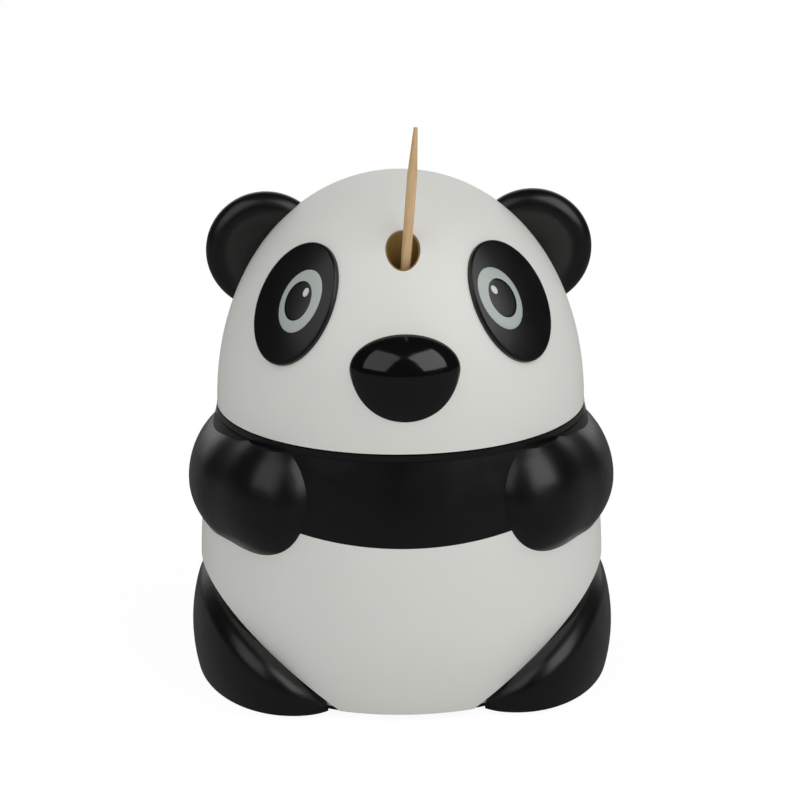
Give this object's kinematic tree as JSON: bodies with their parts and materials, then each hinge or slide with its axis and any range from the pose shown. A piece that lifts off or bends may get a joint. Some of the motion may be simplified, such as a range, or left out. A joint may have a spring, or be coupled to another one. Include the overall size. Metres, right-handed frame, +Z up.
{
  "type": "toothpick dispenser",
  "caption": "Free-standing panda-shaped toothpick dispenser; the head lifts with the hopper around a fixed post, and pushing it down offers one toothpick through the forehead.",
  "frame": {"origin": "middle of the plane that the dispenser rests on, under the middle of the body", "axes": "+Z up; the face looks along -Y; +X is the panda's own left side"},
  "size_m": [0.0892, 0.0848, 0.1197],
  "materials": {
    "white_abs": "satin white moulded ABS",
    "black_abs": "satin black moulded ABS",
    "glossy_black_abs": "polished black moulded ABS",
    "brown_abs": "brown moulded ABS",
    "inner_abs": "plain natural moulded ABS",
    "birch": "bare turned birch",
    "screw_steel": "zinc-plated steel",
    "rubber": "soft black rubber"
  },
  "bodies": {
    "body": {"belly_shell": "white_abs", "arm_band": "black_abs", "left_leg": "black_abs", "right_leg": "black_abs", "guide_collar": "inner_abs", "collar_screws": "screw_steel", "band_screws": "screw_steel", "leg_screws": "screw_steel", "base_plate": "black_abs", "base_screws": "screw_steel", "rubber_feet": "rubber", "picker_post": "inner_abs", "post_screw": "screw_steel"},
    "hopper": {"hopper_cup": "inner_abs", "hopper_floor": "inner_abs", "stop_ring": "inner_abs", "toothpick_stock": "birch"},
    "head": {"head_shell": "white_abs", "left_ear": "black_abs", "right_ear": "black_abs", "ear_screws": "screw_steel", "left_eye_patch": "black_abs", "right_eye_patch": "black_abs", "eye_push_nuts": "screw_steel", "nose": "glossy_black_abs", "nose_screw": "screw_steel", "exit_guide": "brown_abs", "lock_ring": "inner_abs"},
    "toothpick": {"ready_toothpick": "birch"}
  },
  "joints": [
    {"name": "head_lift", "type": "slide", "parent": "body", "child": "hopper", "axis": [0, 0, 1], "range_m": [0, 0.0427]},
    {"name": "head_removal", "type": "slide", "parent": "hopper", "child": "head", "axis": [0, 0, 1], "range_m": [0, 0.06]},
    {"name": "toothpick_pull", "type": "slide", "parent": "body", "child": "toothpick", "axis": [0.02, 0, 0.9998], "range_m": [0, 0.058]}
  ]
}
